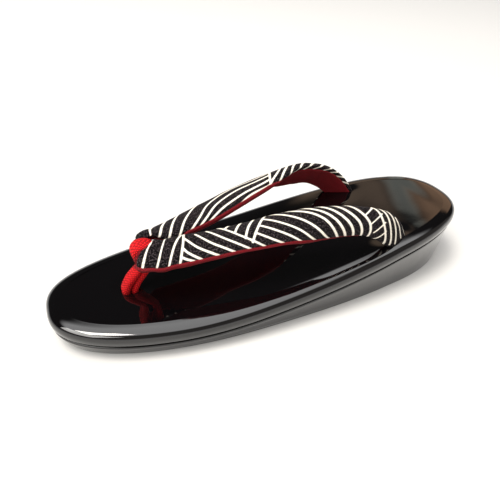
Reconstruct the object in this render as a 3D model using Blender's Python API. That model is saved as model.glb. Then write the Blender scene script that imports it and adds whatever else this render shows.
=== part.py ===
"""Zori sandal: enamel sole of two layers, a padded cloth thong strap and a red toe thong.

Metres, +X to the toe, +Y to one side, +Z up. The origin is on the floor, under the middle of the sole.
"""
import math
from collections import namedtuple

import bmesh
import bpy
from mathutils import Vector

# Sole
SOLE_LENGTH = 0.240
SOLE_WIDTH = 0.0843
WEDGE_FORE = 0.0085         # thickness of the wedge under the ball
WEDGE_HEEL = 0.0292         # thickness of the wedge at the back of the heel
TOE_SPRING = 0.0016         # lift of the wedge's top line at the toe tip
TOE_LIFT = 0.0011           # lift of the wedge's underside at the toe tip
WEDGE_TAPER = 0.0037        # how far the wedge's underside stands in from the sole's widest line
WEDGE_REVEAL = 0.0009       # how far its upper edge stands in
WEDGE_EDGE = 0.0012         # rounding of the wedge's two edges
GROOVE_DEPTH = 0.0018       # groove between the two layers
FOOTBED_THICKNESS = 0.0075
FOOTBED_ROUND = 0.0075      # how far in the footbed's rounded edge reaches

# Strap
STRAP_WIDTH = 0.019
STRAP_CROWN = 0.0055        # padding above the strap's flat side
STRAP_BELLY = 0.0009        # and below it
STRAP_RISE = 0.0297         # height of the strap's inner edge above the footbed at the arch
STRAP_SEAT = 0.0009         # keeps the slanted ends of the strap off the wedge
SLOT_SETBACK = 0.0505       # from the back of the heel to the inner end of each slot
NECK_RADIUS = 0.0014        # the strap where the toe thong pinches it

# Toe thong
THONG_SETBACK = 0.040       # from the toe tip to the middle of the toe hole
THONG_WIDTH = 0.0075
THONG_PLY = 0.0045          # one ply of the folded band in the post
LOOP_PLY = 0.0036           # and where it goes round the strap
THONG_RISE = 0.0226         # from the footbed to the middle of the neck
THONG_LEAN = 0.0094         # how far the neck lies behind the toe hole

# Clearances
GAP = 0.0003                # between pieces that touch
HOLE_CLEARANCE = 0.0005     # round the toe thong and the strap's ends

# Shares of the sole's length, from the toe tip
RAMP_START = 0.224          # the wedge starts to rise towards the heel
RAMP_END = 1.091            # its rise would level out here, just past the heel
SPRING_REACH = 0.18
LIFT_REACH = 0.20

# Mesh fineness
OUTLINE_POINTS = 96
END_CROWDING = 0.45         # draws the outline's points towards the round ends
STRAP_POINTS = 16
THONG_POINTS = 16
STEPS_PER_ROW = 3

# Outline: half width as a share of SOLE_WIDTH / 2, before the round ends are applied,
# and the exponent that rounds the ends (1 is an ellipse, less is blunter)
Outline = namedtuple("Outline", "along width blunt")
OUTLINE = (
    Outline(0.00, 1.053, 0.774),
    Outline(0.25, 1.039, 0.795),
    Outline(0.50, 0.998, 0.816),
    Outline(0.75, 1.034, 0.836),
    Outline(0.90, 1.136, 0.849),
    Outline(1.00, 1.250, 0.857),
)

# Rounded edge of the footbed: inset as a share of FOOTBED_ROUND, height of FOOTBED_THICKNESS
Edge = namedtuple("Edge", "inset height")
FOOTBED_EDGE = (
    Edge(0.24, 0.00),
    Edge(0.05, 0.10),
    Edge(0.00, 0.27),
    Edge(0.00, 0.49),
    Edge(0.08, 0.71),
    Edge(0.27, 0.86),
    Edge(0.56, 0.95),
    Edge(1.00, 1.00),
)

# Sections of one strap arm, from its end on the wedge to the fold at the toe, placed by its inner edge.
# along: share of the run from the neck back to the slot; beside: share of the way out to the side of
# the toe thong; out: share of SOLE_WIDTH / 2, added to that; rise: share of the strap's height there,
# which goes from THONG_RISE at the neck to STRAP_RISE at the arch; sunk: share of the footbed's depth;
# width and crown: shares of STRAP_WIDTH and STRAP_CROWN; lean: degrees that the inner edge is raised;
# skew: degrees that the inner edge is turned towards the heel.
Section = namedtuple("Section", "along beside out rise sunk width crown lean skew")
STRAP = (
    Section(1.029, 0.0, 0.515, 0.000, 1.0, 0.86, 0.75, 8, 57),
    Section(0.996, 0.0, 0.555, 0.000, 0.0, 0.95, 0.82, 9, 60),
    Section(0.951, 0.0, 0.597, 0.316, 0.0, 1.02, 0.88, 15, 68),
    Section(0.887, 0.0, 0.618, 0.603, 0.0, 1.03, 0.95, 23, 73),
    Section(0.798, 0.0, 0.598, 0.838, 0.0, 1.02, 1.00, 35, 74),
    Section(0.705, 0.0, 0.545, 0.985, 0.0, 1.00, 1.00, 43, 65),
    Section(0.606, 0.0, 0.411, 1.000, 0.0, 0.98, 1.00, 33, 36),
    Section(0.494, 0.0, 0.280, 0.953, 0.0, 0.97, 1.00, 18, 11),
    Section(0.308, 0.0, 0.134, 0.906, 0.0, 0.96, 1.00, 5, 3),
    Section(0.153, 0.0, 0.015, 0.984, 0.0, 0.98, 0.95, 11, 7),
    Section(0.084, 0.0, 0.012, 1.060, 0.0, 0.89, 0.92, 20, 9),
    Section(0.058, 0.5, 0.012, 1.100, 0.0, 0.78, 0.86, 31, 11),
    Section(0.034, 1.0, 0.004, 1.120, 0.0, 0.66, 0.80, 41, 12),
    Section(0.014, 1.0, 0.006, 1.120, 0.0, 0.60, 0.76, 47, 12),
    Section(-0.007, 1.0, 0.010, 1.085, 0.0, 0.50, 0.66, 52, 18),
    Section(-0.022, 1.0, 0.018, 1.020, 0.0, 0.32, 0.42, 54, 24),
)
ARCH_REACH = 0.5            # share of the run where the strap has its full height
NECK_ROW = 13.3             # place in the table where the neck joins an arm
NECK_FLARE = 1.5            # the neck's radius inside an arm, as a share of NECK_RADIUS
SLOT_ROWS = 2               # rows of the strap that pass through the footbed

# Half of the toe thong's folded band, from the footbed up to the neck.
# rise: share of THONG_RISE; back: share of THONG_LEAN; open: 0 where the two plies lie together,
# 1 where they pass the neck; thin: 0 where a ply is THONG_PLY thick, 1 where it is LOOP_PLY.
Ply = namedtuple("Ply", "rise back open thin")
THONG = (
    Ply(0.00, 0.00, 0.00, 0.00),
    Ply(0.24, 0.20, 0.00, 0.00),
    Ply(0.46, 0.53, 0.05, 0.25),
    Ply(0.66, 0.92, 0.20, 0.70),
    Ply(0.84, 1.03, 0.75, 1.00),
    Ply(1.00, 1.00, 1.00, 1.00),
)
BAND_SQUARENESS = 0.6       # 1 gives the band an oval section, less a squarer one


def smooth(value):
    """Ease from 0 to 1 between the same limits."""
    value = min(max(value, 0.0), 1.0)
    return value * value * (3 - 2 * value)


def between(rows, place):
    """Values at a place in a table, counted in rows, on a smooth curve through the rows."""
    first = min(int(place), len(rows) - 2)
    part = place - first
    near = [rows[min(max(first + step, 0), len(rows) - 1)] for step in (-1, 0, 1, 2)]
    values = []
    for before, start, end, after in zip(*near):
        slope_in = (end - before) / 2
        slope_out = (after - start) / 2
        bend = 3 * (end - start) - 2 * slope_in - slope_out
        twist = 2 * (start - end) + slope_in + slope_out
        values.append(start + slope_in * part + bend * part ** 2 + twist * part ** 3)
    return type(rows[0])(*values)


def at_along(rows, along):
    """Values of a table at a share of the sole's length."""
    for index in range(len(rows) - 1):
        if along <= rows[index + 1].along:
            break
    step = (along - rows[index].along) / (rows[index + 1].along - rows[index].along)
    return between(rows, index + step)


def share_along(x):
    """Share of the sole's length from the toe tip, at x."""
    return min(max(0.5 - x / SOLE_LENGTH, 0.0), 1.0)


def wedge_line(x):
    """Height of the joint between the wedge and the footbed."""
    along = share_along(x)
    ramp = smooth((along - RAMP_START) / (RAMP_END - RAMP_START))
    full_ramp = smooth((1 - RAMP_START) / (RAMP_END - RAMP_START))
    spring = TOE_SPRING * max(0.0, 1 - along / SPRING_REACH) ** 2
    return WEDGE_FORE + (WEDGE_HEEL - WEDGE_FORE) * ramp / full_ramp + spring


def under_line(x):
    """Height of the wedge's underside, which is flat on the floor behind the toe."""
    return TOE_LIFT * max(0.0, 1 - share_along(x) / LIFT_REACH) ** 2


def footbed_line(x):
    """Height of the footbed's top."""
    return wedge_line(x) + FOOTBED_THICKNESS


def sole_point(angle):
    """Point of the sole's widest line, 0 at the toe tip and pi at the heel."""
    along = (1 - math.cos(angle)) / 2
    row = at_along(OUTLINE, along)
    side = math.sin(angle)
    reach = SOLE_WIDTH / 2 * row.width * abs(side) ** row.blunt
    return Vector((SOLE_LENGTH / 2 * math.cos(angle), math.copysign(reach, side), 0))


def sole_ring(inset, height):
    """Ring of points a given way in from the sole's widest line; height is a function of x."""
    ring = []
    nudge = math.pi / OUTLINE_POINTS / 4
    for index in range(OUTLINE_POINTS):
        turn = 2 * math.pi * index / OUTLINE_POINTS
        angle = turn - END_CROWDING * math.sin(2 * turn) / 2
        tangent = sole_point(angle + nudge) - sole_point(angle - nudge)
        inward = Vector((-tangent.y, tangent.x, 0)).normalized()
        point = sole_point(angle) + inward * inset
        ring.append(Vector((point.x, point.y, height(point.x))))
    return ring


def across_faces(count):
    """Strips of faces that close a ring of the sole from side to side."""
    faces = [(0, 1, count - 1)]
    for index in range(1, count // 2 - 1):
        faces.append((index, index + 1, count - index - 1, count - index))
    faces.append((count // 2 - 1, count // 2, count // 2 + 1))
    return faces


def loft(name, rings, cap_faces=None):
    """Closed skin over rings of equal length, with a face or strips of faces at each end."""
    count = len(rings[0])
    caps = cap_faces or [tuple(range(count))]
    mesh = bmesh.new()
    vertices = [mesh.verts.new(point) for ring in rings for point in ring]
    for row in range(len(rings) - 1):
        for index in range(count):
            following = (index + 1) % count
            corners = ((row, index), (row, following), (row + 1, following), (row + 1, index))
            mesh.faces.new([vertices[ring * count + point] for ring, point in corners])
    last = (len(rings) - 1) * count
    for face in caps:
        mesh.faces.new([vertices[point] for point in reversed(face)])
        mesh.faces.new([vertices[last + point] for point in face])
    bmesh.ops.recalc_face_normals(mesh, faces=mesh.faces)
    data = bpy.data.meshes.new(name)
    mesh.to_mesh(data)
    mesh.free()
    return data


def add_object(name, data, collection, material=None):
    """Put a mesh in the scene, smooth shaded but for its real edges."""
    data.shade_smooth()
    data.set_sharp_from_angle(angle=math.radians(50))
    if material:
        data.materials.append(material)
    item = bpy.data.objects.new(name, data)
    collection.objects.link(item)
    return item


def add_cutter(name, data, collection):
    """A guide that shapes another piece and isn't part of the sandal."""
    cutter = add_object(name, data, collection)
    cutter.hide_render = True
    cutter.display_type = "WIRE"
    return cutter


def combine(item, other, operation):
    """Cut one piece by another, or join it on."""
    modifier = item.modifiers.new(other.name, "BOOLEAN")
    modifier.operation = operation
    modifier.object = other


def make_material(name, colour, roughness, metallic=0.0):
    """Plain finish in linear colour."""
    material = bpy.data.materials.new(name)
    material.use_nodes = True
    shader = material.node_tree.nodes["Principled BSDF"]
    shader.inputs["Base Color"].default_value = (*colour, 1.0)
    shader.inputs["Roughness"].default_value = roughness
    shader.inputs["Metallic"].default_value = metallic
    return material


def strap_edge(row, side):
    """Point of an arm's inner edge, and the direction across the arm towards it."""
    front = neck_centre().x
    x = front - (front + SOLE_LENGTH / 2 - SLOT_SETBACK) * row.along
    y = (THONG_WIDTH / 2 + GAP) * row.beside + SOLE_WIDTH / 2 * row.out
    height = THONG_RISE + (STRAP_RISE - THONG_RISE) * smooth(row.along / ARCH_REACH)
    z = footbed_line(x) + height * row.rise - (FOOTBED_THICKNESS - STRAP_SEAT) * row.sunk
    lean = math.radians(row.lean)
    skew = math.radians(row.skew)
    level = math.cos(lean)
    inward = Vector((-math.sin(skew) * level, -math.cos(skew) * level * side, math.sin(lean)))
    return Vector((x, y * side, z)), inward


def strap_centre(place, side):
    """Middle of an arm's flat side at a place in the table."""
    row = between(STRAP, place)
    edge, inward = strap_edge(row, side)
    return edge - inward * STRAP_WIDTH / 2 * row.width


def strap_frame(place, side):
    """Middle of the flat side, direction to the inner edge and direction out of the padding."""
    last = len(STRAP) - 1.0
    ahead = strap_centre(min(place + 0.05, last), side)
    behind = strap_centre(max(place - 0.05, 0.0), side)
    inward = strap_edge(between(STRAP, place), side)[1]
    outward = (ahead - behind).cross(inward).normalized() * -side
    return strap_centre(place, side), inward, outward


def strap_ring(place, side, grow=0.0):
    """Padded section of an arm at a place in the table, on the +Y side where side is 1."""
    row = between(STRAP, place)
    centre, inward, outward = strap_frame(place, side)
    half_width = STRAP_WIDTH / 2 * row.width + grow
    crown = STRAP_CROWN * row.crown + grow
    belly = STRAP_BELLY * row.crown + grow
    ring = []
    for index in range(STRAP_POINTS):
        angle = 2 * math.pi * index / STRAP_POINTS
        height = abs(math.sin(angle)) ** 0.8
        lift = crown * height if math.sin(angle) > 0 else -belly * height
        ring.append(centre + inward * half_width * math.cos(angle) + outward * lift)
    return ring


def strap_arm(side, grow=0.0, last_row=None, steps=STEPS_PER_ROW):
    """Rings of one arm, or of its first rows."""
    rows = last_row if last_row is not None else len(STRAP) - 1
    return [strap_ring(step / steps, side, grow) for step in range(rows * steps + 1)]


def thong_centre_x():
    """Middle of the toe hole."""
    return SOLE_LENGTH / 2 - THONG_SETBACK


def neck_centre():
    """Middle of the strap's neck, which the toe thong goes round."""
    hole = thong_centre_x()
    return Vector((hole - THONG_LEAN, 0, footbed_line(hole) + THONG_RISE))


def thong_path():
    """Middle line of the folded band: up its front ply, round the neck and down its back ply.

    Each entry is a point and the band's thickness there.
    """
    hole = thong_centre_x()
    top = footbed_line(hole)
    together = (THONG_PLY + GAP) / 2
    apart = NECK_RADIUS + GAP + LOOP_PLY / 2
    leg = []
    steps = (len(THONG) - 1) * STEPS_PER_ROW
    for step in range(steps):
        row = between(THONG, step / STEPS_PER_ROW)
        offset = together + (apart - together) * row.open
        thickness = THONG_PLY + (LOOP_PLY - THONG_PLY) * row.thin
        leg.append((hole - THONG_LEAN * row.back, top + THONG_RISE * row.rise, offset, thickness))
    leg.insert(0, (hole, wedge_line(hole), together, THONG_PLY))
    leg.insert(1, (hole, wedge_line(hole) + FOOTBED_THICKNESS / 2, together, THONG_PLY))
    front = [(Vector((x + offset, 0, z)), thickness) for x, z, offset, thickness in leg]
    back = [(Vector((x - offset, 0, z)), thickness) for x, z, offset, thickness in leg]
    neck = neck_centre()
    turns = 2 * STEPS_PER_ROW + 2
    arc = []
    for turn in range(turns + 1):
        angle = math.pi * turn / turns
        arc.append((neck + Vector((math.cos(angle), 0, math.sin(angle))) * apart, LOOP_PLY))
    return front + arc + back[::-1]


def band_ring(centre, normal, thickness, width):
    """Rounded oblong section, thick along the normal and wide along Y."""
    ring = []
    for index in range(THONG_POINTS):
        angle = 2 * math.pi * index / THONG_POINTS
        across = math.copysign(abs(math.cos(angle)) ** BAND_SQUARENESS, math.cos(angle))
        wide = math.copysign(abs(math.sin(angle)) ** BAND_SQUARENESS, math.sin(angle))
        ring.append(centre + normal * across * thickness / 2 + Vector((0, wide * width / 2, 0)))
    return ring


def make_wedge(collection, material):
    """Sole body: thin under the toes, high under the heel, slanting in to the floor."""
    height = lambda share: lambda x: under_line(x) + share * (wedge_line(x) - GAP - under_line(x))
    below_top = lambda drop: lambda x: wedge_line(x) - GAP - drop
    above_floor = lambda lift: lambda x: under_line(x) + lift
    slant = (WEDGE_TAPER - WEDGE_REVEAL)
    corner = WEDGE_EDGE * 0.3
    rings = [
        sole_ring(WEDGE_TAPER + WEDGE_EDGE, above_floor(0)),
        sole_ring(WEDGE_TAPER + corner, above_floor(corner)),
        sole_ring(WEDGE_TAPER, above_floor(WEDGE_EDGE)),
        sole_ring(WEDGE_REVEAL + slant * 0.45, height(0.5)),
        sole_ring(WEDGE_REVEAL, below_top(WEDGE_EDGE)),
        sole_ring(WEDGE_REVEAL + corner, below_top(corner)),
        sole_ring(GROOVE_DEPTH + corner, below_top(0)),
    ]
    return add_object("wedge", loft("wedge", rings, across_faces(OUTLINE_POINTS)), collection, material)


def make_footbed(collection, material, cutters):
    """Top layer with a round edge, the toe hole and a slot for each end of the strap."""
    rings = []
    for edge in FOOTBED_EDGE:
        lift = FOOTBED_THICKNESS * edge.height
        rings.append(sole_ring(FOOTBED_ROUND * edge.inset, lambda x, lift=lift: wedge_line(x) + lift))
    footbed = add_object("footbed", loft("footbed", rings, across_faces(OUTLINE_POINTS)), collection, material)

    hole = thong_centre_x()
    length = 2 * THONG_PLY + GAP + 2 * HOLE_CLEARANCE
    width = THONG_WIDTH + 2 * HOLE_CLEARANCE
    levels = (wedge_line(hole) - FOOTBED_THICKNESS, footbed_line(hole) + FOOTBED_THICKNESS)
    tube = [band_ring(Vector((hole, 0, level)), Vector((1, 0, 0)), length, width) for level in levels]
    combine(footbed, add_cutter("toe_hole_cutter", loft("toe_hole_cutter", tube), cutters), "DIFFERENCE")

    for side, name in ((1, "slot_cutter_near"), (-1, "slot_cutter_far")):
        rings = strap_arm(side, HOLE_CLEARANCE, SLOT_ROWS)
        below = [point * 2 - above for point, above in zip(rings[0], rings[1])]
        cutter = add_cutter(name, loft(name, [below] + rings), cutters)
        combine(footbed, cutter, "DIFFERENCE")
    return footbed


def make_straps(collection, material, cutters):
    """Both padded arms, one tube folded at the toe, where the toe thong pinches it into a neck."""
    straps = add_object("straps", loft("straps", strap_arm(1)), collection, material)
    far_arm = add_cutter("far_arm", loft("far_arm", strap_arm(-1)), cutters)
    neck = neck_centre()
    beside = Vector((0, THONG_WIDTH / 2 + GAP, 0))
    stations = [(neck - beside, NECK_RADIUS), (neck + beside, NECK_RADIUS)]
    for side, place in ((-1, 0), (1, 3)):
        centre, inward, outward = strap_frame(NECK_ROW, side)
        middle = centre + outward * STRAP_CROWN * between(STRAP, NECK_ROW).crown / 2
        stations.insert(place, (middle, NECK_RADIUS * NECK_FLARE))
    rod = []
    for middle, radius in stations:
        ring = []
        for index in range(THONG_POINTS):
            angle = 2 * math.pi * index / THONG_POINTS
            ring.append(middle + Vector((math.cos(angle), 0, math.sin(angle))) * radius)
        rod.append(ring)
    combine(straps, add_cutter("neck", loft("neck", rod), cutters), "UNION")
    combine(straps, far_arm, "UNION")
    return straps


def make_toe_thong(collection, material):
    """Folded band that loops round the neck and stands in the toe hole on the wedge."""
    path = thong_path()
    rings = []
    for index, (centre, thickness) in enumerate(path):
        before = path[max(index - 1, 0)][0]
        after = path[min(index + 1, len(path) - 1)][0]
        run = (after - before).normalized()
        normal = Vector((run.z, 0, -run.x))
        rings.append(band_ring(centre, normal, thickness, THONG_WIDTH))
    return add_object("toe_thong", loft("toe_thong", rings), collection, material)


def main():
    for item in list(bpy.data.objects):
        bpy.data.objects.remove(item, do_unlink=True)
    parts = bpy.data.collections.new("zori_sandal")
    cutters = bpy.data.collections.new("cutters")
    for collection in (parts, cutters):
        bpy.context.scene.collection.children.link(collection)
    enamel = make_material("black enamel", (0.010, 0.010, 0.012), 0.08)
    side_enamel = make_material("black enamel side", (0.012, 0.012, 0.014), 0.12)
    cloth = make_material("wave weave cloth", (0.030, 0.030, 0.040), 0.75)
    crepe = make_material("red crepe", (0.420, 0.010, 0.014), 0.85)
    make_wedge(parts, side_enamel)
    make_footbed(parts, enamel, cutters)
    make_straps(parts, cloth, cutters)
    make_toe_thong(parts, crepe)


main()
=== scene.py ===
# Zori sandal: enamel sole, padded wave-cloth straps lined in red, red crepe toe thong.
# Metres, +X to the toe, +Y to the camera's side, +Z up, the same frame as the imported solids.
import math
from functools import lru_cache

import bmesh
import bpy
import numpy as np
from mathutils import Matrix, Vector, noise


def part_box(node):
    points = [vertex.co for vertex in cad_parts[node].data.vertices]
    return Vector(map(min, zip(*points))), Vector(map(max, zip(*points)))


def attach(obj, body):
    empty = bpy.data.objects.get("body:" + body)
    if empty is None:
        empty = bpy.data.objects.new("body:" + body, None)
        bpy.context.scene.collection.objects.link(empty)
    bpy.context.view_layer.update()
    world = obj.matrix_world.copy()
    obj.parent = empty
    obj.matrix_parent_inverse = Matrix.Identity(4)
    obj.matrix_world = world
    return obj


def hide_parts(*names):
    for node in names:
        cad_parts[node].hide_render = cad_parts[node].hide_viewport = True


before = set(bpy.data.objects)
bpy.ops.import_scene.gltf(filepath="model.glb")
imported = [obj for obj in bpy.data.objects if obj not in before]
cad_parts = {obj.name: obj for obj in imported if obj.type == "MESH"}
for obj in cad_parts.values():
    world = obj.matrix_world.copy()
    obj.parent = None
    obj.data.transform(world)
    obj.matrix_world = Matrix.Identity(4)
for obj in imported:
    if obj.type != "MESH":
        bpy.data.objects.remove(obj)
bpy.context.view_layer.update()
scene = bpy.context.scene
mm = 0.001
weld = 0.005 * mm              # points closer than this are one
oneBand = 0.314                # scale of a wave texture that gives one band to a unit


# Helpers for materials

def srgb(hexColour):
    parts = [int(hexColour[i:i + 2], 16) / 255 for i in (1, 3, 5)]
    linear = [p / 12.92 if p <= 0.04045 else ((p + 0.055) / 1.055) ** 2.4 for p in parts]
    return (*linear, 1.0)


def addNode(tree, kind, inputs=None, **settings):
    # inputs: socket name or number to a value, or to another node's socket, which is linked
    node = tree.nodes.new(kind)
    for name, value in settings.items():
        setattr(node, name, value)
    for name, value in (inputs or {}).items():
        if isinstance(value, bpy.types.NodeSocket):
            tree.links.new(value, node.inputs[name])
        else:
            node.inputs[name].default_value = value
    return node


def newMaterial(name, inputs):
    material = bpy.data.materials.new(name)
    material.use_nodes = True
    tree = material.node_tree
    shader = tree.nodes["Principled BSDF"]
    for key, value in inputs.items():
        shader.inputs[key].default_value = value
    return material, tree, shader


def ramp(tree, factor, stops):
    # stops: (position, colour) pairs
    node = addNode(tree, "ShaderNodeValToRGB", {"Fac": factor})
    elements = node.color_ramp.elements
    while len(elements) < len(stops):
        elements.new(0.5)
    for element, (position, colour) in zip(elements, stops):
        element.position = position
        element.color = colour
    return node.outputs["Color"]


# Helpers for shapes

def ease(value):
    value = min(max(value, 0.0), 1.0)
    return value * value * (3 - 2 * value)


def throughRows(rows, place):
    # A smooth curve through rows of numbers, at a place counted in rows
    first = min(max(int(place), 0), len(rows) - 2)
    part = place - first
    a, b, c, d = [np.asarray(rows[min(max(first + k, 0), len(rows) - 1)], float) for k in (-1, 0, 1, 2)]
    slopeIn, slopeOut = (c - a) / 2, (d - b) / 2
    bend = 3 * (c - b) - 2 * slopeIn - slopeOut
    twist = 2 * (b - c) + slopeIn + slopeOut
    return b + slopeIn * part + bend * part ** 2 + twist * part ** 3


def bentGrid(bm, across, up, place, uvAt=None, materialIndex=0):
    # A flat grid whose points are put in place by place(u, v), with u and v from 0 to 1
    layer = bm.loops.layers.uv.verify() if uvAt else None
    made = bmesh.ops.create_grid(bm, x_segments=across, y_segments=up, size=0.5)["verts"]
    flat = {v: (v.co.x + 0.5, v.co.y + 0.5) for v in made}
    for vert, (u, v) in flat.items():
        vert.co = place(u, v)
    for face in {f for vert in made for f in vert.link_faces}:
        face.material_index = materialIndex
        if uvAt:
            for loop in face.loops:
                loop[layer].uv = uvAt(*flat[loop.vert])
    return flat


def makePiece(bm, name, materials, sharpAngle=40):
    bmesh.ops.remove_doubles(bm, verts=bm.verts, dist=weld)
    bmesh.ops.recalc_face_normals(bm, faces=bm.faces)
    mesh = bpy.data.meshes.new(name)
    bm.to_mesh(mesh)
    bm.free()
    for material in materials:
        mesh.materials.append(material)
    mesh.shade_smooth()
    mesh.set_sharp_from_angle(angle=math.radians(sharpAngle))
    piece = bpy.data.objects.new(name, mesh)
    scene.collection.objects.link(piece)
    return piece


def cutBy(piece, cutters):
    # Boolean cuts, applied, with the cutters then removed
    for cutter in cutters:
        modifier = piece.modifiers.new(cutter.name, "BOOLEAN")
        modifier.operation = "DIFFERENCE"
        modifier.object = cutter
    bpy.context.view_layer.update()
    evaluated = piece.evaluated_get(bpy.context.evaluated_depsgraph_get())
    piece.data = bpy.data.meshes.new_from_object(evaluated)
    piece.modifiers.clear()
    for cutter in cutters:
        bpy.data.objects.remove(cutter)


def dress(piece, cadNode=None):
    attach(piece, "root")
    if cadNode:
        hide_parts(cadNode)
    print(piece.name, len(piece.data.polygons), "faces")


# Sole: outline and levels

footbedLow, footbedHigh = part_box("footbed")

sole = dict(
    length=footbedHigh.x - footbedLow.x,
    width=84.3 * mm,
    wedgeFore=8.5 * mm,        # wedge under the ball
    wedgeHeel=29.2 * mm,       # and at the back of the heel
    rampStart=0.224, rampEnd=1.091,
    toeSpring=1.6 * mm, springReach=0.18,
    toeLift=1.1 * mm, liftReach=0.20,
    # share of the length, half width, bluntness of the round ends
    outline=((0.00, 1.053, 0.774), (0.25, 1.039, 0.795), (0.50, 0.998, 0.816),
             (0.75, 1.034, 0.836), (0.90, 1.136, 0.849), (1.00, 1.250, 0.857)),
    rungs=192,                 # steps from toe to heel
    endCrowding=0.45,
    closeSteps=8,              # steps across a hidden flat
    gap=0.3 * mm,
)

footbed = dict(
    thickness=7.5 * mm,
    roundReach=7.5 * mm,
    # rounded edge: inset as a share of roundReach, height as a share of thickness
    edge=((0.24, 0.00), (0.05, 0.10), (0.00, 0.27), (0.00, 0.49),
          (0.08, 0.71), (0.27, 0.86), (0.56, 0.95), (1.00, 1.00)),
    edgeSteps=40,
    widthSteps=56,
    dimpleDepth=0.5 * mm,      # the enamel is drawn down into the holes
    dimpleReach=4.5 * mm,
    slotDimple=0.36,           # size of the slots' dimples, as a share of the strap's width
    holeClearance=0.5 * mm,
    holeCorner=0.6,            # how square the toe hole is
    slotSteps=24, slotDeeper=1.2,
    hollow=0.35 * mm,          # faint hollow along the middle, from the press
    fadeSide=0.35, fadeEnd=0.12,   # where it dies out, as shares of the half width and half length
)

wedge = dict(
    taper=3.7 * mm, reveal=0.9 * mm, groove=2.4 * mm, edge=1.2 * mm,
    seam=0.85 * mm,            # dark line under the footbed
    sideSteps=36,
)

thong = dict(
    setback=40.0 * mm,         # toe tip to the middle of the hole
    lean=9.4 * mm, rise=22.6 * mm,
    width=7.5 * mm, ply=4.0 * mm, loopPly=3.2 * mm, neckRadius=1.4 * mm,
    # rise, back, open, thin: shares along half of the band, from the footbed to the neck
    rows=((0.00, 0.00, 0.00, 0.00), (0.20, 0.24, 0.00, 0.00), (0.38, 0.58, 0.02, 0.10),
          (0.54, 0.90, 0.10, 0.40), (0.75, 1.03, 0.75, 1.00), (1.00, 1.00, 1.00, 1.00)),
    loopDrop=1.0 * mm, loopAhead=0.5 * mm,       # the loop hangs a little below the neck and ahead of it
    loopSquash=0.80,
    loopSwell=1.8 * mm,        # the loop is wider than the post
    loopPuff=1.4 * mm,         # and puffed out ahead of the neck and behind it
    pinch=0.8 * mm, pinchAt=0.53, pinchReach=0.10,   # where the two plies close under it
    swellOver=0.3, puffOver=0.5,   # shares of the rise over which the loop widens and puffs out
    corner=0.72, soft=0.04, softReach=4 * mm,
    rowSteps=4, arcSteps=16,
    lengthSteps=150, roundSteps=56,
    colour="#f0141c", deep="#90040b",
    grain=1.15 * mm,           # crepe grain, drawn coarser than the real 0.5 mm
)


def shareAlong(x):
    return min(max(0.5 - x / sole["length"], 0.0), 1.0)


@lru_cache(None)
def jointHeight(x):
    along = shareAlong(x)
    span = sole["rampEnd"] - sole["rampStart"]
    rise = ease((along - sole["rampStart"]) / span) / ease((1 - sole["rampStart"]) / span)
    spring = sole["toeSpring"] * max(0.0, 1 - along / sole["springReach"]) ** 2
    return sole["wedgeFore"] + (sole["wedgeHeel"] - sole["wedgeFore"]) * rise + spring


def underHeight(x):
    return sole["toeLift"] * max(0.0, 1 - shareAlong(x) / sole["liftReach"]) ** 2


def topHeight(x):
    return jointHeight(x) + footbed["thickness"]


@lru_cache(None)
def rimPoint(angle):
    # Widest line of the sole, 0 at the toe and pi at the heel
    along = (1 - math.cos(angle)) / 2
    rows = sole["outline"]
    index = next(i for i in range(len(rows) - 1) if along <= rows[i + 1][0] or i == len(rows) - 2)
    place = index + (along - rows[index][0]) / (rows[index + 1][0] - rows[index][0])
    _, width, blunt = throughRows(rows, place)
    side = math.sin(angle)
    reach = sole["width"] / 2 * width * abs(side) ** blunt
    return Vector((sole["length"] / 2 * math.cos(angle), math.copysign(reach, side)))


@lru_cache(None)
def rimInward(angle):
    step = math.pi / 400
    tangent = rimPoint(angle + step) - rimPoint(angle - step)
    return Vector((-tangent.y, tangent.x)).normalized()


@lru_cache(None)
def rungAngle(share):
    # Angle at a share of the way round; the points crowd towards the round ends
    turn = 2 * math.pi * round(share * 2 * sole["rungs"]) / (2 * sole["rungs"])
    return turn - sole["endCrowding"] * math.sin(2 * turn) / 2


def soleRing(share, inset):
    angle = rungAngle(share)
    return rimPoint(angle) + rimInward(angle) * inset


def closeAcross(bm, inset, height, steps, materialIndex=0):
    # Rungs from side to side that close a ring of the sole
    def place(u, v):
        near = soleRing(u / 2, inset)
        y = near.y * (1 - 2 * v)
        return (near.x, y, height(near.x, y))
    bentGrid(bm, sole["rungs"], steps, place, materialIndex=materialIndex)


# Strap: where its padded arms run

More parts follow.
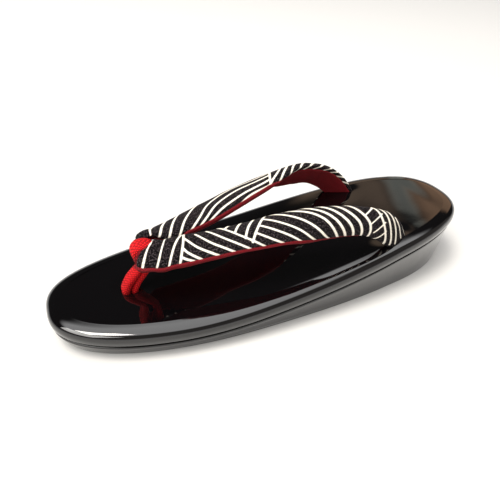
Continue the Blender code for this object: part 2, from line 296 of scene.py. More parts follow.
strap = dict(
    width=19.0 * mm, crown=5.5 * mm, belly=0.9 * mm,
    rise=29.7 * mm, seat=0.9 * mm, slotSetback=50.5 * mm, archReach=0.5,
    # along, beside, out, rise, sunk, width, crown, lean, skew: from the slot to the nose, by the inner edge
    rows=((1.029, 0.0, 0.515, 0.000, 1.0, 0.86, 0.75, 8, 57), (0.996, 0.0, 0.555, 0.000, 0.0, 0.95, 0.82, 9, 60),
          (0.951, 0.0, 0.597, 0.316, 0.0, 1.02, 0.88, 15, 68), (0.887, 0.0, 0.618, 0.603, 0.0, 1.03, 0.95, 23, 73),
          (0.798, 0.0, 0.598, 0.838, 0.0, 1.02, 1.00, 35, 74), (0.705, 0.0, 0.545, 0.985, 0.0, 1.00, 1.00, 43, 65),
          (0.606, 0.0, 0.411, 1.000, 0.0, 0.98, 1.00, 33, 36), (0.494, 0.0, 0.280, 0.953, 0.0, 0.97, 1.00, 18, 11),
          (0.308, 0.0, 0.134, 0.906, 0.0, 0.96, 1.00, 5, 3), (0.153, 0.0, 0.015, 0.984, 0.0, 0.98, 0.95, 11, 7),
          (0.084, 0.0, 0.012, 1.060, 0.0, 0.89, 0.92, 20, 9), (0.058, 0.5, 0.012, 1.100, 0.0, 0.78, 0.86, 31, 11),
          (0.034, 1.0, 0.004, 1.120, 0.0, 0.66, 0.80, 41, 12), (0.014, 1.0, 0.006, 1.120, 0.0, 0.60, 0.76, 47, 12),
          (-0.007, 1.0, 0.010, 1.085, 0.0, 0.56, 0.74, 52, 18), (-0.022, 1.0, 0.018, 1.020, 0.0, 0.50, 0.66, 54, 24)),
    slotRows=2,
    lengthSteps=300, roundSteps=96, tubeSteps=48, sectionPoints=193, tracePoints=451,
    crowding=1.35,             # the steps along it are closer together at the nose
    sectionCorner=0.8, noseBlunt=2.4,
    # near arm 1 and far arm -1: length over which the nose closes, how far that moves it on,
    # and the share by which it turns to the inner edge
    noseRound={1: 4.5 * mm, -1: 7.0 * mm},
    noseBulge={1: 1.2 * mm, -1: -3.0 * mm},
    noseTurn={1: 0.0, -1: 0.9},
    tuck=3.3 * mm, tuckAt=9.8 * mm, tuckReach=3.6 * mm,   # the arms press together behind the toe thong
    gather=0.28 * mm, gathers=13, gatherReach=8 * mm,   # cloth folds by the toe thong
    slack=0.22 * mm, slackReach=11 * mm, noseCalm=4 * mm,   # soft unevenness of the padding
    farShift=0.1,              # sets the far arm apart in the UV map, in metres
    thread=0.75 * mm,          # thread spacing, drawn coarser than the real 0.4 mm so that it shows
)

lining = dict(
    thickness=0.38 * mm,
    # length from the nose, how far it wraps over the outer edge and over the inner one, in mm
    hems={1: ((0, 5, 3), (1.2, 5, 3), (2.6, 4.2, 0), (6, 3.3, -1.6), (17, 2.5, -1.6), (30, 2, -1.6),
              (60, 1.1, -1.6), (85, 1.9, -1.6), (104, 1.6, -1.6), (125, 0.3, -1.6), (155, -1, -1.6)),
          -1: ((0, 3.3, -2), (6, 3.3, -3.6), (17, 2.5, -2.6), (22, 2.3, -0.6), (28, 2, 1.9),
               (60, 1.1, 2.1), (80, 1.9, 1.9), (96, 1.8, -2.6), (125, 0.3, -2.8), (155, -1, -2.0))},
    most=0.6,                  # and at most this share of the way to the crown, or back to the belly
    clear=0.02 * mm, hemFade=0.2 * mm,                    # it lies on the cloth and thins out at its hem
    bead=0.30 * mm, beadAt=0.7 * mm, beadWidth=0.55 * mm,     # rolled hem
    noseBead=1.5, noseReach=18 * mm,                      # fuller towards the nose
    noseThicker=0.6, thickerReach=3 * mm,
    uvAcross=50 * mm,
    lengthSteps=260, roundSteps=40,
    colour="#98101f", deep="#58060f", grain=0.8 * mm,
)

holeX = sole["length"] / 2 - thong["setback"]
neckX = holeX - thong["lean"]


@lru_cache(None)
def strapEdge(place, side):
    # Inner edge of an arm, the direction across towards it, and the section's size
    along, beside, out, rise, sunk, width, crown, lean, skew = throughRows(strap["rows"], place)
    x = neckX - (neckX + sole["length"] / 2 - strap["slotSetback"]) * along
    y = (thong["width"] / 2 + sole["gap"]) * beside + sole["width"] / 2 * out
    height = thong["rise"] + (strap["rise"] - thong["rise"]) * ease(along / strap["archReach"])
    z = topHeight(x) + height * rise - (footbed["thickness"] - strap["seat"]) * sunk
    lean, skew = math.radians(lean), math.radians(skew)
    level = math.cos(lean)
    inward = Vector((-math.sin(skew) * level, -math.cos(skew) * level * side, math.sin(lean)))
    return Vector((x, y * side, z)), inward, strap["width"] / 2 * width, crown


def strapCentre(place, side):
    edge, inward, half, _ = strapEdge(place, side)
    return edge - inward * half


@lru_cache(None)
def strapFrame(place, side):
    last = len(strap["rows"]) - 1.0
    ahead = strapCentre(min(place + 0.05, last), side)
    behind = strapCentre(max(place - 0.05, 0.0), side)
    _, inward, half, crown = strapEdge(place, side)
    outward = (ahead - behind).cross(inward).normalized() * -side
    return strapCentre(place, side), inward, outward, half, crown


def crownPoint(place):
    centre, _, outward, _, crown = strapFrame(place, 1)
    return centre + outward * strap["crown"] * crown


places = np.linspace(len(strap["rows"]) - 1.0, 0, strap["tracePoints"])      # from the nose back to the slot
crownLine = np.array([crownPoint(float(p)) for p in places])
lengths = np.concatenate([[0], np.cumsum(np.linalg.norm(np.diff(crownLine, axis=0), axis=1))])
armLength = float(lengths[-1])
print("arm length", round(armLength / mm, 1), "mm")


@lru_cache(None)
def strapRing(length, side, grow=0.0):
    # Section of an arm, from the crown over its outer edge, belly and inner edge back to the crown:
    # points, directions out of it, and the way round
    place = float(np.interp(length, lengths, places))
    centre, inward, outward, half, crown = strapFrame(place, side)
    phi = np.linspace(math.pi / 2, 2.5 * math.pi, strap["sectionPoints"])
    height = np.abs(np.sin(phi)) ** strap["sectionCorner"]
    lift = np.where(np.sin(phi) > 0, strap["crown"] * crown + grow, -(strap["belly"] * crown + grow)) * height
    tuck = strap["tuck"] * math.exp(-((length - strap["tuckAt"]) / strap["tuckReach"]) ** 2)
    level = np.cos(phi) * (half + grow) + np.maximum(np.cos(phi), 0) * tuck
    if length < strap["noseRound"][side] and not grow:
        left = 1 - length / strap["noseRound"][side]
        shrink = max(1 - left ** strap["noseBlunt"], 0.0) ** (1 / strap["noseBlunt"])
        level = level * shrink
        lift = lift * shrink
        centre = centre + outward.cross(inward) * side * strap["noseBulge"][side] * left
        centre = centre + inward * half * (1 - shrink) * strap["noseTurn"][side]
    stepLevel, stepLift = np.gradient(level), np.gradient(lift)
    size = np.hypot(stepLevel, stepLift) + 1e-12
    across, out = np.array(inward), np.array(outward)
    points = np.array(centre) + level[:, None] * across + lift[:, None] * out
    normals = (stepLift / size)[:, None] * across - (stepLevel / size)[:, None] * out
    way = np.concatenate([[0], np.cumsum(np.hypot(np.diff(level), np.diff(lift)))])
    return points, normals, way


def onRing(ring, way, offset=0.0):
    points, normals, ways = ring
    spot = np.array([np.interp(way, ways, points[:, k]) for k in range(3)])
    out = np.array([np.interp(way, ways, normals[:, k]) for k in range(3)])
    return spot + out / (np.linalg.norm(out) + 1e-12) * offset


def alongArm(share):
    # Length at a share of the arm, with the steps closer together at the nose
    return armLength * share ** strap["crowding"]


def noseAhead(length, side, offset):
    # An offset from the arm's surface turns forward over the round nose, so that the nose stays closed
    left = max(1 - length / strap["noseRound"][side], 0.0) ** 2
    place = float(np.interp(length, lengths, places))
    _, inward, outward, _, _ = strapFrame(place, side)
    return offset * (1 - left), np.array(outward.cross(inward)) * side * offset * left


def strapTube(bm, side, start, end, steps, grow=0.0):
    # Plain tube of an arm between two lengths
    def place(u, v):
        ring = strapRing(start + (end - start) * u, side, grow)
        return onRing(ring, v * ring[2][-1])
    bentGrid(bm, steps, strap["tubeSteps"], place)


# Wave pattern: each sheaf has a count of lines, its first line and its last, in mm (back from the nose,
# across from the crown to the outer edge). The lines between them are spread evenly.

# Half width of a line and the edges of its ragged border, in mm as well
wave = dict(halfWidth=0.52, inside=0.12, outside=0.42, farthest=5.0, steps=5)

nearWaves = (
    (3, ((7.8, -8.5), (5, -3.4), (3, 3.4)), ((24.4, -8.5), (19.7, -0.5), (15.4, 9))),
    (1, ((26, -12), (25, -5.5), (23.8, 0), (20.6, 10)), None),
    (2, ((21.7, 6), (23.4, 7.8), (27, 10)), ((23.2, 2), (25.8, 6), (31.5, 11))),
    (4, ((25, -4), (30.2, 4), (39, 11)), ((42.5, -8), (50.7, 2.6), (62, 12))),
    (3, ((51, -12), (48.4, -8), (45.8, -4.5)), ((63.5, -12), (57, -2.5), (52.7, 5))),
    (1, ((69, -12), (61.5, -1.2), (55.2, 7.8)), None),
    (3, ((58.3, 3), (64, 7.2), (72, 11.6)), ((64.8, -5.2), (75.5, 2), (93, 11))),
    (1, ((67.5, -9.5), (83, -0.4), (104, 11.5)), None),
    (5, ((71, -11), (93, -1.2), (109.5, 11.5)), ((101, -12), (118, -0.9), (130, 12))),
    (4, ((116.4, -12), (114.7, -8.5), (113, -4.8)), ((134, 3), (134.6, 7.5), (135.3, 12))),
    (3, ((115.5, -12), (128, -0.8), (146, 11.5)), ((124, -11.5), (137.4, -2.8), (150, 6))),
    (2, ((133, -8.5), (141, -4.6), (150, 0)), ((138, -11), (146, -8), (156, -4))),
)

farWaves = (
    (3, ((8.6, -11), (12.4, -2), (17.5, 9.5)), ((18, -11.6), (24.5, -1.3), (35, 12))),
    (1, ((22.8, -12), (32, -1.7), (47.5, 12)), None),
    (3, ((28, -12), (38, -5.8), (48, 1.2), (63, 3.7), (89, -1.5)),
        ((38.5, -12), (46, -8.9), (54, -7), (66, -6.4), (82, -7.6))),
    (1, ((58, -11.5), (68, -9.4), (80.5, -10.4)), None),
    (2, ((57, 12), (66, 9.2), (80, 7), (95, 3.6)), ((74, 12), (80, 11), (90, 9.4), (100, 7.6))),
    (1, ((80, -12), (85.5, -4.5), (98, 6), (104, 12)), None),
    (7, ((76, -14), (82.7, -9.4), (90, -6.4), (100, -0.5), (112, 12)),
        ((121, -16.5), (126, -12), (132, -7), (138, 2), (144, 12))),
    (3, ((127, -16.5), (132, -12), (139, -5), (146, 6)), ((139, -16.5), (144, -12), (150, -7), (156, 2))),
)


def waveLines(sheaves):
    lines = []
    for count, first, last in sheaves:
        for index in range(count):
            share = index / max(count - 1, 1)
            rows = [np.array(p) + (np.array(q) - np.array(p)) * share for p, q in zip(first, last or first)]
            marks = (len(rows) - 1) * wave["steps"]
            lines.append([throughRows(rows, mark / wave["steps"]) for mark in range(marks + 1)])
    return lines


def lineDistance(points, lines):
    best = np.full(len(points), wave["farthest"])
    for line in lines:
        for start, end in zip(line, line[1:]):
            run = end - start
            share = np.clip((points - start) @ run / (run @ run), 0, 1)
            best = np.minimum(best, np.linalg.norm(points - start - share[:, None] * run, axis=1))
    return best


# Materials

enamel = dict(
    colour="#060506", ior=1.5, roughness=0.05, coat=0.6, coatRoughness=0.03,
    ripple=22 * mm, rippleHeight=0.10 * mm,      # the sheet over the board is not quite flat
    peel=2.2 * mm, peelHeight=0.004 * mm,
    hazeScale=60, hazeLeast=0.7, hazeMost=1.8,   # the gloss is not quite even
)


def blackEnamel(name, ripple=1.0):
    # Patent enamel: urethane film on cloth, poured glossy. A near mirror over black, softly rippled.
    material, tree, shader = newMaterial(name, {
        "Base Color": srgb(enamel["colour"]), "IOR": enamel["ior"], "Roughness": enamel["roughness"],
        "Coat Weight": enamel["coat"], "Coat Roughness": enamel["coatRoughness"], "Coat IOR": 1.5})
    coords = addNode(tree, "ShaderNodeTexCoord").outputs["Object"]
    wide = addNode(tree, "ShaderNodeTexNoise", {"Vector": coords, "Scale": 1 / enamel["ripple"], "Detail": 1.0})
    fine = addNode(tree, "ShaderNodeTexNoise", {"Vector": coords, "Scale": 1 / enamel["peel"], "Detail": 1.0})
    first = addNode(tree, "ShaderNodeBump", {
        "Height": wide.outputs["Fac"], "Strength": 1.0, "Distance": enamel["rippleHeight"] * ripple})
    second = addNode(tree, "ShaderNodeBump", {
        "Height": fine.outputs["Fac"], "Strength": 1.0, "Distance": enamel["peelHeight"],
        "Normal": first.outputs["Normal"]})
    tree.links.new(second.outputs["Normal"], shader.inputs["Normal"])
    tree.links.new(second.outputs["Normal"], shader.inputs["Coat Normal"])
    haze = addNode(tree, "ShaderNodeTexNoise", {"Vector": coords, "Scale": enamel["hazeScale"], "Detail": 4.0})
    rough = addNode(tree, "ShaderNodeMapRange", {
        "Value": haze.outputs["Fac"], "From Min": 0.35, "From Max": 0.75,
        "To Min": enamel["roughness"] * enamel["hazeLeast"], "To Max": enamel["roughness"] * enamel["hazeMost"]})
    tree.links.new(rough.outputs["Result"], shader.inputs["Roughness"])
    return material


tread = dict(colour="#151416", ribs=2.4 * mm, depth=0.35 * mm)


def soleRubber():
    # Thin black rubber sheet under the wedge, moulded with fine diagonal ribs
    material, tree, shader = newMaterial("moulded sole rubber", {
        "Base Color": srgb(tread["colour"]), "Roughness": 0.62, "IOR": 1.5})
    coords = addNode(tree, "ShaderNodeTexCoord").outputs["Object"]
    heights = []
    for turn in (45, -45):
        turned = addNode(tree, "ShaderNodeMapping", {
            "Vector": coords, "Rotation": (0, 0, math.radians(turn)), "Scale": (1 / tread["ribs"],) * 3})
        ribs = addNode(tree, "ShaderNodeTexWave", {"Vector": turned.outputs["Vector"], "Scale": oneBand})
        heights.append(ribs.outputs["Fac"])
    both = addNode(tree, "ShaderNodeMath", {0: heights[0], 1: heights[1]}, operation="MINIMUM")
    bump = addNode(tree, "ShaderNodeBump", {
        "Height": both.outputs[0], "Strength": 1.0, "Distance": tread["depth"]})
    tree.links.new(bump.outputs["Normal"], shader.inputs["Normal"])
    return material


cloth = dict(
    dark="#040304", light="#50474a", ground=(0.49, 0.73),     # where the noise turns from dark to light
    shade="#d8ccb8", cream="#fdf6e8", yarn=(0.25, 0.50),
    lineRelief=0.7, relief=0.14 * mm,
)


def waveCloth():
    # Woven rayon and cotton: dull charcoal ground, cream threads that float over it in the lines
    material, tree, shader = newMaterial("woven wave cloth", {
        "Roughness": 0.85, "IOR": 1.45, "Specular IOR Level": 0.07, "Sheen Weight": 0.02, "Sheen Roughness": 0.5})
    uv = addNode(tree, "ShaderNodeUVMap").outputs["UV"]
    line = addNode(tree, "ShaderNodeAttribute", attribute_name="waveLine").outputs["Fac"]
    grain = addNode(tree, "ShaderNodeTexNoise", {
        "Vector": uv, "Scale": 1 / strap["thread"], "Detail": 1.0, "Roughness": 0.5})
    threads = []
    for turn in (0, 90):
        turned = addNode(tree, "ShaderNodeMapping", {
            "Vector": uv, "Rotation": (0, 0, math.radians(turn)), "Scale": (1 / strap["thread"],) * 3})
        band = addNode(tree, "ShaderNodeTexWave", {
            "Vector": turned.outputs["Vector"], "Scale": oneBand, "Distortion": 0.6, "Detail": 1.0})
        threads.append(band.outputs["Fac"])
    weave = addNode(tree, "ShaderNodeMath", {0: threads[0], 1: threads[1]}, operation="MULTIPLY").outputs[0]
    ragged = addNode(tree, "ShaderNodeMath", {0: grain.outputs["Fac"], 1: 0.5, 2: line}, operation="MULTIPLY_ADD")
    mask = addNode(tree, "ShaderNodeMapRange", {
        "Value": ragged.outputs[0], "From Min": wave["halfWidth"] + wave["outside"],
        "From Max": wave["halfWidth"] + wave["inside"], "To Min": 0.0, "To Max": 1.0},
        interpolation_type="SMOOTHSTEP").outputs["Result"]
    ground, yarn = (
        ramp(tree, grain.outputs["Fac"], tuple(zip(cloth[part], (srgb(cloth[low]), srgb(cloth[high])))))
        for part, low, high in (("ground", "dark", "light"), ("yarn", "shade", "cream")))
    colour = addNode(tree, "ShaderNodeMix", {0: mask, 6: ground, 7: yarn}, data_type="RGBA")
    tree.links.new(colour.outputs[2], shader.inputs["Base Color"])
    height = addNode(tree, "ShaderNodeMath", {0: mask, 1: cloth["lineRelief"], 2: weave}, operation="MULTIPLY_ADD")
    bump = addNode(tree, "ShaderNodeBump", {
        "Height": height.outputs[0], "Strength": 0.7, "Distance": cloth["relief"]})
    tree.links.new(bump.outputs["Normal"], shader.inputs["Normal"])
    return material


crepe = dict(turns=(32, -48), pit=0.10, thread=0.60, relief=0.24 * mm)


def redCrepe(name, look):
    # Crepe: tightly twisted threads that crinkle into fine diagonal dots. Dull, with dark pits.
    material, tree, shader = newMaterial(name, {
        "Roughness": 0.8, "IOR": 1.45, "Specular IOR Level": 0.25, "Sheen Weight": 0.06,
        "Sheen Roughness": 0.45, "Sheen Tint": srgb("#ff9a8c")})
    uv = addNode(tree, "ShaderNodeUVMap").outputs["UV"]
    threads = []
    for turn in crepe["turns"]:
        turned = addNode(tree, "ShaderNodeMapping", {
            "Vector": uv, "Rotation": (0, 0, math.radians(turn)), "Scale": (1 / look["grain"],) * 3})
        band = addNode(tree, "ShaderNodeTexWave", {
            "Vector": turned.outputs["Vector"], "Scale": oneBand, "Distortion": 1.0, "Detail": 1.0,
            "Detail Scale": 0.6})
        threads.append(band.outputs["Fac"])
    dots = addNode(tree, "ShaderNodeMath", {0: threads[0], 1: threads[1]}, operation="MULTIPLY").outputs[0]
    tint = ramp(tree, dots, ((crepe["pit"], srgb(look["deep"])), (crepe["thread"], srgb(look["colour"]))))
    tree.links.new(tint, shader.inputs["Base Color"])
    bump = addNode(tree, "ShaderNodeBump", {"Height": dots, "Strength": 1.0, "Distance": crepe["relief"]})
    tree.links.new(bump.outputs["Normal"], shader.inputs["Normal"])
    return material


topEnamel = blackEnamel("patent enamel, top")
sideEnamel = blackEnamel("patent enamel, side", ripple=0.8)
rubber = soleRubber()
wovenCloth = waveCloth()
liningCrepe = redCrepe("dark red lining crepe", lining)
thongCrepe = redCrepe("bright red crepe", thong)
print("materials made")


# Wedge

def makeWedge():
    taper, reveal, groove, edge = (wedge[k] for k in ("taper", "reveal", "groove", "edge"))
    slant = taper - reveal
    # inset, lift from the level, share of the height
    profile = ((taper + edge, 0, 0), (taper + 0.45 * edge, 0.12 * edge, 0), (taper + 0.12 * edge, 0.45 * edge, 0),
               (taper, edge, 0), (reveal + 0.72 * slant, 0, 0.26), (reveal + 0.45 * slant, 0, 0.5),
               (reveal + 0.2 * slant, 0, 0.76), (reveal, -edge, 1), (reveal + 0.12 * edge, -0.45 * edge, 1),
               (reveal + 0.45 * edge, -0.12 * edge, 1), (groove + 0.3 * edge, 0, 1))

    def side(u, v):
        inset, lift, share = throughRows(profile, v * (len(profile) - 1))
        point = soleRing(u, inset)
        low, high = underHeight(point.x), jointHeight(point.x) - wedge["seam"]
        return (point.x, point.y, low + lift + share * (high - low))

    bm = bmesh.new()
    bentGrid(bm, 2 * sole["rungs"], wedge["sideSteps"], side)
    closeAcross(bm, profile[0][0], lambda x, y: underHeight(x), sole["closeSteps"], materialIndex=1)
    closeAcross(bm, profile[-1][0], lambda x, y: jointHeight(x) - wedge["seam"], sole["closeSteps"])
    piece = makePiece(bm, "wedgeBody", [sideEnamel, rubber])
    dress(piece, "wedge")


# Footbed

def dimple(x, y):
    # How far the top is drawn down round the toe hole and the two slots
    drop = 0.0
    spots = [(holeX, 0.0, thong["ply"] + sole["gap"])]
    for side in (1, -1):
        centre = strapCentre(1.0, side)
        spots.append((centre.x, centre.y, strap["width"] * footbed["slotDimple"]))
    for spotX, spotY, radius in spots:
        away = max(math.hypot(x - spotX, y - spotY) - radius, 0.0)
        drop += footbed["dimpleDepth"] * math.exp(-(away / footbed["dimpleReach"]) ** 2)
    return drop


def topAt(x, y):
    # Flat top with a faint hollow; both die out at the rounded edge
    half = max(abs(soleRing(0.25, footbed["roundReach"]).y), 1e-6)
    reach = sole["length"] / 2 - footbed["roundReach"]
    fade = ease((1 - abs(y) / half) / footbed["fadeSide"]) * ease((1 - abs(x) / reach) / footbed["fadeEnd"])
    return topHeight(x) - (footbed["hollow"] * (1 - (y / half) ** 2) + dimple(x, y)) * fade


def makeFootbed():
    edge = footbed["edge"]

    def side(u, v):
        inset, height = throughRows(edge, v * (len(edge) - 1))
        point = soleRing(u, inset * footbed["roundReach"])
        return (point.x, point.y, jointHeight(point.x) + height * footbed["thickness"])

    bm = bmesh.new()
    bentGrid(bm, 2 * sole["rungs"], footbed["edgeSteps"], side)
    closeAcross(bm, edge[0][0] * footbed["roundReach"], lambda x, y: jointHeight(x), sole["closeSteps"])
    closeAcross(bm, edge[-1][0] * footbed["roundReach"], topAt, footbed["widthSteps"])
    piece = makePiece(bm, "footbedPad", [topEnamel])

    cutters = []
    bm = bmesh.new()
    hole = bmesh.ops.create_cone(bm, cap_ends=True, segments=64, radius1=1, radius2=1,
                                 depth=4 * footbed["thickness"])
    half = (thong["ply"] + sole["gap"] / 2 + footbed["holeClearance"],
            thong["width"] / 2 + footbed["holeClearance"])
    for vert in hole["verts"]:
        x, y = vert.co.x, vert.co.y
        vert.co.x = holeX + half[0] * math.copysign(abs(x) ** footbed["holeCorner"], x)
        vert.co.y = half[1] * math.copysign(abs(y) ** footbed["holeCorner"], y)
        vert.co.z += topHeight(holeX)
    cutters.append(makePiece(bm, "toeHole", []))
    slotEnd = float(np.interp(-strap["slotRows"], -places, lengths))
    for side in (1, -1):
        bm = bmesh.new()
        strapTube(bm, side, armLength, slotEnd, footbed["slotSteps"], footbed["holeClearance"])
        bmesh.ops.remove_doubles(bm, verts=bm.verts, dist=weld)
        ends = bmesh.ops.holes_fill(bm, edges=[e for e in bm.edges if e.is_boundary])["faces"]
        rear = min(ends, key=lambda face: face.calc_center_median().z)
        lower = bmesh.ops.extrude_face_region(bm, geom=[rear])["geom"]
        down = (strapCentre(0.0, side) - strapCentre(1.0, side)) * footbed["slotDeeper"]
        bmesh.ops.translate(bm, vec=down, verts=[g for g in lower if isinstance(g, bmesh.types.BMVert)])
        bmesh.ops.delete(bm, geom=[rear], context="FACES")
        cutters.append(makePiece(bm, "strapSlot", []))
    cutBy(piece, cutters)
    piece.data.shade_smooth()
    piece.data.set_sharp_from_angle(angle=math.radians(40))
    dress(piece, "footbed")


# Straps: padded cloth arms and their red lining

def makeStraps():
    bm = bmesh.new()
    layer = bm.verts.layers.float.new("waveLine")
    for side, sheaves in ((1, nearWaves), (-1, farWaves)):
        def where(u, v):
            # Along the arm, and across it from the crown; the seam is in the middle of the belly
            length = alongArm(u)
            return length, strapRing(length, side)[2][-1] * (v - 0.5)

        def place(u, v):
            length, way = where(u, v)
            ring = strapRing(length, side)
            way %= ring[2][-1]
            spot = noise.noise(Vector(onRing(ring, way)) / strap["slackReach"])
            folds = math.sin(2 * math.pi * strap["gathers"] * v) * math.exp(-length / strap["gatherReach"])
            calm = ease(length / strap["noseCalm"])
            return onRing(ring, way, (strap["slack"] * spot + strap["gather"] * folds) * calm)

        def clothUv(u, v):
            length, way = where(u, v)
            return (length, way + strap["farShift"] * (side < 0))

        flat = bentGrid(bm, strap["lengthSteps"], strap["roundSteps"], place, clothUv)
        verts = list(flat)
        spots = np.array([where(*flat[vert]) for vert in verts]) / mm
        distances = lineDistance(spots, waveLines(sheaves))
        for vert, distance in zip(verts, distances):
            vert[layer] = float(distance)
    bmesh.ops.remove_doubles(bm, verts=bm.verts, dist=weld)
    bmesh.ops.holes_fill(bm, edges=[e for e in bm.edges if e.is_boundary])
    piece = makePiece(bm, "strapCloth", [wovenCloth], sharpAngle=70)
    dress(piece, "straps")


def makeLining():
    bm = bmesh.new()
    for side in (1, -1):
        hems = np.array(lining["hems"][side])

        def place(u, v):
            length = max(alongArm(u), 0.001 * mm)
            ring = strapRing(length, side)
            ways = ring[2]
            quarter = (len(ways) - 1) // 4
            outerHem, innerHem = (np.interp(length / mm, hems[:, 0], hems[:, k]) * mm for k in (1, 2))
            start = ways[quarter] - min(outerHem, lining["most"] * ways[quarter])
            innerHem = min(innerHem, lining["most"] * (ways[-1] - ways[3 * quarter]))
            end = ways[3 * quarter] + max(innerHem, lining["most"] * (ways[2 * quarter] - ways[3 * quarter]))
            share = 2 * v if v <= 0.5 else 2 - 2 * v
            way = start + (end - start) * share
            fromSeam = min(way - start, end - way)
            offset = lining["clear"]
            if v <= 0.5:
                roll = lining["bead"] * (1 + lining["noseBead"] * math.exp(-length / lining["noseReach"]))
                roll *= math.exp(-((fromSeam - lining["beadAt"]) / lining["beadWidth"]) ** 2)
                offset += (lining["thickness"] + roll) * (1 - math.exp(-fromSeam / lining["hemFade"]))
            thicker = 1 + lining["noseThicker"] * math.exp(-length / lining["thickerReach"])
            out, ahead = noseAhead(length, side, offset * thicker)
            return onRing(ring, way, out) + ahead

        def liningUv(u, v):
            return (alongArm(u), lining["uvAcross"] * v + strap["farShift"] * (side < 0))

        bentGrid(bm, lining["lengthSteps"], 2 * lining["roundSteps"], place, liningUv)
    bmesh.ops.remove_doubles(bm, verts=bm.verts, dist=weld)
    bmesh.ops.holes_fill(bm, edges=[e for e in bm.edges if e.is_boundary])
    piece = makePiece(bm, "strapLining", [liningCrepe], sharpAngle=70)
    dress(piece)


# Toe thong: a folded band of crepe, up its front ply, round the strap's neck and down its back ply

def thongStations():
    # Middle of the band, its thickness and its width, evenly spaced along it
    together = (thong["ply"] + sole["gap"]) / 2
    apart = thong["neckRadius"] + sole["gap"] + thong["loopPly"] / 2
    top = topHeight(holeX)
    lean, rising = thong["lean"] - thong["loopAhead"], thong["rise"] - thong["loopDrop"]
    leg = [(holeX, jointHeight(holeX) + 0.1 * mm, together, thong["ply"], thong["width"], 0.0),
           (holeX, jointHeight(holeX) + footbed["thickness"] / 2, together, thong["ply"], thong["width"], 0.0)]
    for step in range((len(thong["rows"]) - 1) * thong["rowSteps"]):
        rise, back, spread, thin = throughRows(thong["rows"], step / thong["rowSteps"])
        offset = together + (apart - together) * spread
        ply = thong["ply"] + (thong["loopPly"] - thong["ply"]) * thin
        nip = thong["pinch"] * math.exp(-((rise - thong["pinchAt"]) / thong["pinchReach"]) ** 2)
        above = rise - thong["pinchAt"]
        wide = thong["width"] + thong["loopSwell"] * ease(above / thong["swellOver"]) - nip
        puff = thong["loopPuff"] * ease(above / thong["puffOver"])
        leg.append((holeX - lean * back, top + rising * rise, offset, ply - nip, wide, puff))
    front = [(x + offset + puff / 2, z, ply + puff, wide) for x, z, offset, ply, wide, puff in leg]
    back = [(x - offset - puff / 2, z, ply + puff, wide) for x, z, offset, ply, wide, puff in leg]
    arc = []
    for turn in range(thong["arcSteps"] + 1):
        angle = math.pi * turn / thong["arcSteps"]
        puff = thong["loopPuff"] * (0.4 + 0.6 * math.cos(angle) ** 2)
        reach = apart + puff / 2
        arc.append((holeX - lean + math.cos(angle) * reach,
                    top + rising + math.sin(angle) * reach * thong["loopSquash"],
                    thong["loopPly"] + puff, thong["width"] + thong["loopSwell"]))
    rows = np.array(front + arc + back[::-1])
    run = np.concatenate([[0], np.cumsum(np.hypot(np.diff(rows[:, 0]), np.diff(rows[:, 1])))])
    even = np.linspace(0, run[-1], thong["lengthSteps"] + 1)
    return np.array([np.interp(even, run, rows[:, k]) for k in range(4)]).T, run[-1]


def makeThong():
    stations, length = thongStations()
    around = 2 * (thong["ply"] + thong["width"])

    def place(u, v):
        index = round(u * thong["lengthSteps"])
        x, z, ply, wide = stations[index]
        before, after = stations[max(index - 1, 0)], stations[min(index + 1, len(stations) - 1)]
        run = Vector((after[0] - before[0], 0, after[1] - before[1])).normalized()
        normal = Vector((run.z, 0, -run.x))
        angle = 2 * math.pi * v
        across, side = math.cos(angle), math.sin(angle)
        across = math.copysign(abs(across) ** thong["corner"], across) * ply / 2
        side = math.copysign(abs(side) ** thong["corner"], side) * wide / 2
        spot = Vector((x, 0, z)) + normal * across + Vector((0, side, 0))
        soft = 1 + thong["soft"] * noise.noise(spot / thong["softReach"])
        return Vector((x, 0, z)) + normal * across * soft + Vector((0, side * soft, 0))

    bm = bmesh.new()
    bentGrid(bm, thong["lengthSteps"], thong["roundSteps"], place, lambda u, v: (u * length, v * around))
    bmesh.ops.remove_doubles(bm, verts=bm.verts, dist=weld)
    bmesh.ops.holes_fill(bm, edges=[e for e in bm.edges if e.is_boundary])
    piece = makePiece(bm, "toeThong", [thongCrepe], sharpAngle=60)
    dress(piece, "toe_thong")


makeWedge()
makeFootbed()
makeStraps()
makeLining()
makeThong()
print("pieces made")


# Studio: floor, lights and camera

studio = dict(
    table="#d2d1cf", tableGlow=0.10, tableSize=10.0,
    # position, aim, width, height, radiance, colour
    panels=(
        ("toeSideSoftbox", (1.61, 0.43, 1.99), (0, 0, 0.02), 1.9, 1.2, 6.5, "#fffdf8"),
        ("ceilingLamp", (0.75, -0.05, 2.28), (0, 0, 0.02), 0.7, 0.7, 22.0, "#fffaf2"),
    ),
    # What the enamel mirrors: radiance, colour, azimuth from +X, elevation, softness, in degrees
    room=(
        (2.7, "#ffffff", (-182, 2), (54, 120), 5),         # ceiling on the far side
        (2.7, "#ffffff", (-2, 182), (72, 120), 5),         # and over the camera
        (1.0, "#ffffff", (-400, 400), (-120, 14), 5),      # pale sweep along the horizon
        (0.95, "#f0c09a", (-158, -133.2), (20, 38), 2),    # warm reflector
        (0.60, "#e0c0a4", (-129, -112), (20, 40), 2),      # and its dimmer half
        (0.85, "#ccd0c6", (-133, -129.2), (16, 38.5), 1),  # thin pale one between them
        (0.22, "#fff4ea", (0, 180), (0, 72), 6),           # dim side behind the camera
        (0.03, "#ffffff", (-400, 400), (0, 60), 1),
    ),
)


def window(tree, value, low, high, soft):
    # 1 between two values, fading to 0 outside them
    sides = [addNode(tree, "ShaderNodeMapRange", {"Value": value, "From Min": start, "From Max": end},
                     interpolation_type="SMOOTHSTEP").outputs["Result"]
             for start, end in ((low - soft, low + soft), (high + soft, high - soft))]
    return addNode(tree, "ShaderNodeMath", {0: sides[0], 1: sides[1]}, operation="MULTIPLY").outputs[0]


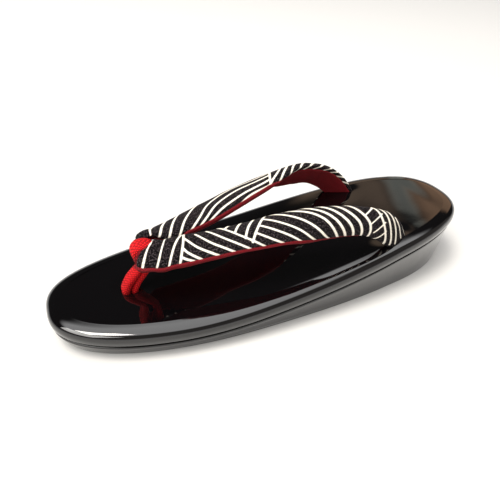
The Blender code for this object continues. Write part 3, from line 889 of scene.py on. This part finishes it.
def makeRoom():
    world = bpy.data.worlds.new("studioRoom")
    world.use_nodes = True
    tree = world.node_tree
    way = addNode(tree, "ShaderNodeSeparateXYZ", {
        "Vector": addNode(tree, "ShaderNodeTexCoord").outputs["Generated"]}).outputs
    azimuth = addNode(tree, "ShaderNodeMath", {0: way["Y"], 1: way["X"]}, operation="ARCTAN2").outputs[0]
    elevation = addNode(tree, "ShaderNodeMath", {0: way["Z"]}, operation="ARCSINE").outputs[0]
    azimuth, elevation = (addNode(tree, "ShaderNodeMath", {0: angle}, operation="DEGREES").outputs[0]
                          for angle in (azimuth, elevation))
    total = None
    for radiance, colour, across, upward, soft in studio["room"]:
        share = addNode(tree, "ShaderNodeMath", {
            0: window(tree, azimuth, *across, soft), 1: window(tree, elevation, *upward, soft)},
            operation="MULTIPLY").outputs[0]
        glow = [part * radiance for part in srgb(colour)[:3]]
        patch = addNode(tree, "ShaderNodeVectorMath", {0: glow, "Scale": share}, operation="SCALE").outputs[0]
        total = addNode(tree, "ShaderNodeVectorMath", {0: total, 1: patch}).outputs[0] if total else patch
    tree.links.new(total, tree.nodes["Background"].inputs["Color"])
    scene.world = world


def makeStudio():
    bm = bmesh.new()
    bmesh.ops.create_grid(bm, x_segments=2, y_segments=2, size=studio["tableSize"] / 2)
    mesh = bpy.data.meshes.new("lightTable")
    bm.to_mesh(mesh)
    bm.free()
    # Milk-white acrylic, lit a little from below
    material, _, _ = newMaterial("lit acrylic table", {
        "Base Color": srgb(studio["table"]), "Roughness": 0.9, "Specular IOR Level": 0.1,
        "Emission Color": (1, 1, 1, 1), "Emission Strength": studio["tableGlow"]})
    mesh.materials.append(material)
    table = bpy.data.objects.new("lightTable", mesh)
    scene.collection.objects.link(table)
    for name, position, aim, wide, high, radiance, colour in studio["panels"]:
        light = bpy.data.lights.new(name, "AREA")
        light.shape = "RECTANGLE"
        light.size, light.size_y = wide, high
        light.energy = radiance * math.pi * wide * high
        light.color = srgb(colour)[:3]
        lamp = bpy.data.objects.new(name, light)
        lamp.location = position
        lamp.rotation_euler = (Vector(position) - Vector(aim)).to_track_quat("Z", "Y").to_euler()
        scene.collection.objects.link(lamp)
    makeRoom()
    scene.view_settings.view_transform = "Standard"


view = dict(aim=(12.27, -2.15, 20.0), distance=248.37, azimuth=63.84, elevation=36.61, roll=2.97, lens=31.98)


def makeCamera():
    # The photo's angle: azimuth from +X, in mm and degrees, found from the sole's outline
    azimuth, elevation, roll = (math.radians(view[k]) for k in ("azimuth", "elevation", "roll"))
    back = Vector((math.cos(elevation) * math.cos(azimuth), math.cos(elevation) * math.sin(azimuth),
                   math.sin(elevation)))
    right = (-back).cross(Vector((0, 0, 1))).normalized()
    up = right.cross(-back)
    right, up = right * math.cos(roll) + up * math.sin(roll), up * math.cos(roll) - right * math.sin(roll)
    data = bpy.data.cameras.new("photoCamera")
    data.lens = view["lens"]
    data.sensor_width = 36
    data.clip_start = 0.01
    camera = bpy.data.objects.new("photoCamera", data)
    turn = Matrix((right, up, back)).transposed()
    camera.matrix_world = Matrix.Translation((Vector(view["aim"]) + back * view["distance"]) * mm) @ turn.to_4x4()
    scene.collection.objects.link(camera)
    scene.camera = camera


makeStudio()
makeCamera()
print("studio ready")
